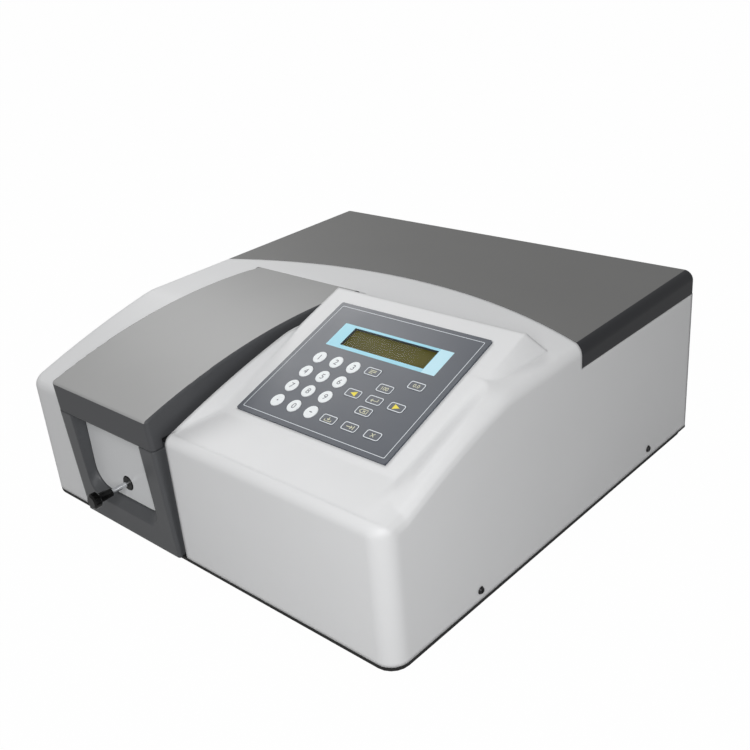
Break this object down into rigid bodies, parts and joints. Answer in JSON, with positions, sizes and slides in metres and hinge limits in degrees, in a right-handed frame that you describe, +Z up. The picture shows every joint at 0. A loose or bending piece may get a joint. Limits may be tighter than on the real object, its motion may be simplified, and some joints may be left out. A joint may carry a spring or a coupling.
{
  "type": "visible spectrophotometer",
  "caption": "Bench spectrophotometer with a hinged sample lid over a pull-rod cell changer, a sloping keypad console with a display, and closed optics behind.",
  "frame": {"origin": "centre of the overall box, on the plane the feet stand on", "axes": "+Z up, +Y to the rear of the instrument, +X to the user's right"},
  "size_m": [0.4732, 0.5078, 0.197],
  "materials": {
    "white_housing": "fine satin",
    "dark_cover": "satin",
    "lid_grey": "satin",
    "frame_grey": "satin",
    "black_steel": "powder coat",
    "rubber_black": "matt",
    "screw_black": "black oxide",
    "plate_white": "satin",
    "chrome": "polished",
    "black_gloss": "gloss",
    "steel": "ground",
    "foam_black": "open foam",
    "black_anodised": "black anodised",
    "cast_black": "black paint on casting",
    "mirror": "coated",
    "grating_glass": "ruled",
    "brass": "turned",
    "motor_black": "matt",
    "lamp_glass": "clear",
    "sheet_steel": "zinc",
    "fan_plastic": "matt",
    "circuit_board": "solder mask",
    "transformer_core": "varnish",
    "display_module": "display glass",
    "display_pane": "clear",
    "panel_film": "gloss film",
    "key_white": "gloss film",
    "key_grey": "gloss film",
    "back_sheet": "powder coat"
  },
  "bodies": {
    "chassis": {"back_panel": "back_sheet", "base_plate": "black_steel", "carriage_rails": "steel", "concave_mirrors": "mirror", "detector_housing": "black_anodised", "fan_frame": "fan_plastic", "front_frame": "frame_grey", "front_housing": "white_housing", "housing_screws": "screw_black", "keypad_board": "circuit_board", "keypad_panel": "panel_film", "lamp": "lamp_glass", "lamp_house": "sheet_steel", "lcd_module": "display_module", "lcd_window": "display_pane", "lid_hinge_pin": "steel", "main_board": "circuit_board", "monochromator_case": "cast_black", "power_inlet": "black_gloss", "power_transformer": "transformer_core", "rear_cover": "dark_cover", "rod_grommet": "black_gloss", "rod_panel": "plate_white", "rubber_feet": "rubber_black", "sample_chamber": "black_anodised", "stepper_motors": "motor_black"},
    "lid": {"sample_lid": "lid_grey", "lid_seal": "foam_black"},
    "carriage": {"cell_carriage": "black_anodised", "pull_rod": "chrome", "rod_knob": "black_gloss"},
    "rocker": {"switch_rocker": "black_gloss"},
    "fan_rotor": {"fan_rotor": "fan_plastic"},
    "lead_screw": {"lead_screw": "steel"},
    "drive_nut": {"drive_nut": "brass"},
    "grating_table": {"grating_table": "brass", "grating": "grating_glass"},
    "filter_wheel": {"filter_wheel": "black_anodised"},
    "key_0": {"key_0": "key_white"},
    "key_1": {"key_1": "key_white"},
    "key_2": {"key_2": "key_white"},
    "key_3": {"key_3": "key_white"},
    "key_4": {"key_4": "key_white"},
    "key_5": {"key_5": "key_white"},
    "key_6": {"key_6": "key_white"},
    "key_7": {"key_7": "key_white"},
    "key_8": {"key_8": "key_white"},
    "key_9": {"key_9": "key_white"},
    "key_clear": {"key_clear": "key_grey"},
    "key_decimal": {"key_decimal": "key_white"},
    "key_delete": {"key_delete": "key_grey"},
    "key_enter": {"key_enter": "key_grey"},
    "key_full_scale": {"key_full_scale": "key_grey"},
    "key_go_to": {"key_go_to": "key_grey"},
    "key_minus": {"key_minus": "key_white"},
    "key_mode": {"key_mode": "key_grey"},
    "key_print": {"key_print": "key_grey"},
    "key_wavelength_down": {"key_wavelength_down": "key_grey"},
    "key_wavelength_up": {"key_wavelength_up": "key_grey"},
    "key_zero": {"key_zero": "key_grey"}
  },
  "joints": [
    {"name": "lid_hinge", "type": "hinge", "parent": "chassis", "child": "lid", "pos_m": [-0.094, 0.03666, 0.1753], "axis": [-1, 0, 0], "range_deg": [0, 75]},
    {"name": "cell_changer_slide", "type": "slide", "parent": "chassis", "child": "carriage", "axis": [0, -1, 0], "range_m": [-0.016, 0.032]},
    {"name": "rocker_tilt", "type": "hinge", "parent": "chassis", "child": "rocker", "pos_m": [-0.13, 0.24256, 0.05], "axis": [-1, 0, 0], "range_deg": [0, 18]},
    {"name": "fan_spin", "type": "hinge", "parent": "chassis", "child": "fan_rotor", "pos_m": [0.1, 0.23906, 0.07], "axis": [0, 1, 0], "continuous": true},
    {"name": "lead_screw_spin", "type": "hinge", "parent": "chassis", "child": "lead_screw", "pos_m": [0.153, 0.01506, 0.031], "axis": [0, 1, 0], "range_deg": [-2148.85, 2148.85]},
    {"name": "drive_nut_slide", "type": "slide", "parent": "chassis", "child": "drive_nut", "axis": [0, 1, 0], "range_m": [-0.01195, 0.01195]},
    {"name": "grating_turn", "type": "hinge", "parent": "chassis", "child": "grating_table", "pos_m": [0.096, 0.01506, 0.04], "axis": [0, 0, 1], "range_deg": [-12.01, 12.01]},
    {"name": "filter_wheel_spin", "type": "hinge", "parent": "chassis", "child": "filter_wheel", "pos_m": [0.08, 0.08106, 0.068], "axis": [0, 1, 0], "continuous": true},
    {"name": "key_0_press", "type": "slide", "parent": "chassis", "child": "key_0", "axis": [0, 0.3305, -0.9438], "range_m": [0, 0.0004], "stiffness_N_per_m": 600, "springref_m": -0.0001},
    {"name": "key_1_press", "type": "slide", "parent": "chassis", "child": "key_1", "axis": [0, 0.3305, -0.9438], "range_m": [0, 0.0004], "stiffness_N_per_m": 600, "springref_m": -0.0001},
    {"name": "key_2_press", "type": "slide", "parent": "chassis", "child": "key_2", "axis": [0, 0.3305, -0.9438], "range_m": [0, 0.0004], "stiffness_N_per_m": 600, "springref_m": -0.0001},
    {"name": "key_3_press", "type": "slide", "parent": "chassis", "child": "key_3", "axis": [0, 0.3305, -0.9438], "range_m": [0, 0.0004], "stiffness_N_per_m": 600, "springref_m": -0.0001},
    {"name": "key_4_press", "type": "slide", "parent": "chassis", "child": "key_4", "axis": [0, 0.3305, -0.9438], "range_m": [0, 0.0004], "stiffness_N_per_m": 600, "springref_m": -0.0001},
    {"name": "key_5_press", "type": "slide", "parent": "chassis", "child": "key_5", "axis": [0, 0.3305, -0.9438], "range_m": [0, 0.0004], "stiffness_N_per_m": 600, "springref_m": -0.0001},
    {"name": "key_6_press", "type": "slide", "parent": "chassis", "child": "key_6", "axis": [0, 0.3305, -0.9438], "range_m": [0, 0.0004], "stiffness_N_per_m": 600, "springref_m": -0.0001},
    {"name": "key_7_press", "type": "slide", "parent": "chassis", "child": "key_7", "axis": [0, 0.3305, -0.9438], "range_m": [0, 0.0004], "stiffness_N_per_m": 600, "springref_m": -0.0001},
    {"name": "key_8_press", "type": "slide", "parent": "chassis", "child": "key_8", "axis": [0, 0.3305, -0.9438], "range_m": [0, 0.0004], "stiffness_N_per_m": 600, "springref_m": -0.0001},
    {"name": "key_9_press", "type": "slide", "parent": "chassis", "child": "key_9", "axis": [0, 0.3305, -0.9438], "range_m": [0, 0.0004], "stiffness_N_per_m": 600, "springref_m": -0.0001},
    {"name": "key_clear_press", "type": "slide", "parent": "chassis", "child": "key_clear", "axis": [0, 0.3305, -0.9438], "range_m": [0, 0.0004], "stiffness_N_per_m": 600, "springref_m": -0.0001},
    {"name": "key_decimal_press", "type": "slide", "parent": "chassis", "child": "key_decimal", "axis": [0, 0.3305, -0.9438], "range_m": [0, 0.0004], "stiffness_N_per_m": 600, "springref_m": -0.0001},
    {"name": "key_delete_press", "type": "slide", "parent": "chassis", "child": "key_delete", "axis": [0, 0.3305, -0.9438], "range_m": [0, 0.0004], "stiffness_N_per_m": 600, "springref_m": -0.0001},
    {"name": "key_enter_press", "type": "slide", "parent": "chassis", "child": "key_enter", "axis": [0, 0.3305, -0.9438], "range_m": [0, 0.0004], "stiffness_N_per_m": 600, "springref_m": -0.0001},
    {"name": "key_full_scale_press", "type": "slide", "parent": "chassis", "child": "key_full_scale", "axis": [0, 0.3305, -0.9438], "range_m": [0, 0.0004], "stiffness_N_per_m": 600, "springref_m": -0.0001},
    {"name": "key_go_to_press", "type": "slide", "parent": "chassis", "child": "key_go_to", "axis": [0, 0.3305, -0.9438], "range_m": [0, 0.0004], "stiffness_N_per_m": 600, "springref_m": -0.0001},
    {"name": "key_minus_press", "type": "slide", "parent": "chassis", "child": "key_minus", "axis": [0, 0.3305, -0.9438], "range_m": [0, 0.0004], "stiffness_N_per_m": 600, "springref_m": -0.0001},
    {"name": "key_mode_press", "type": "slide", "parent": "chassis", "child": "key_mode", "axis": [0, 0.3305, -0.9438], "range_m": [0, 0.0004], "stiffness_N_per_m": 600, "springref_m": -0.0001},
    {"name": "key_print_press", "type": "slide", "parent": "chassis", "child": "key_print", "axis": [0, 0.3305, -0.9438], "range_m": [0, 0.0004], "stiffness_N_per_m": 600, "springref_m": -0.0001},
    {"name": "key_wavelength_down_press", "type": "slide", "parent": "chassis", "child": "key_wavelength_down", "axis": [0, 0.3305, -0.9438], "range_m": [0, 0.0004], "stiffness_N_per_m": 600, "springref_m": -0.0001},
    {"name": "key_wavelength_up_press", "type": "slide", "parent": "chassis", "child": "key_wavelength_up", "axis": [0, 0.3305, -0.9438], "range_m": [0, 0.0004], "stiffness_N_per_m": 600, "springref_m": -0.0001},
    {"name": "key_zero_press", "type": "slide", "parent": "chassis", "child": "key_zero", "axis": [0, 0.3305, -0.9438], "range_m": [0, 0.0004], "stiffness_N_per_m": 600, "springref_m": -0.0001}
  ],
  "couplings": [
    {"joint": "drive_nut_slide", "follows": "lead_screw_spin", "m_per_rad": 0.00031831},
    {"joint": "grating_turn", "follows": "lead_screw_spin", "ratio": 0.0055844}
  ]
}
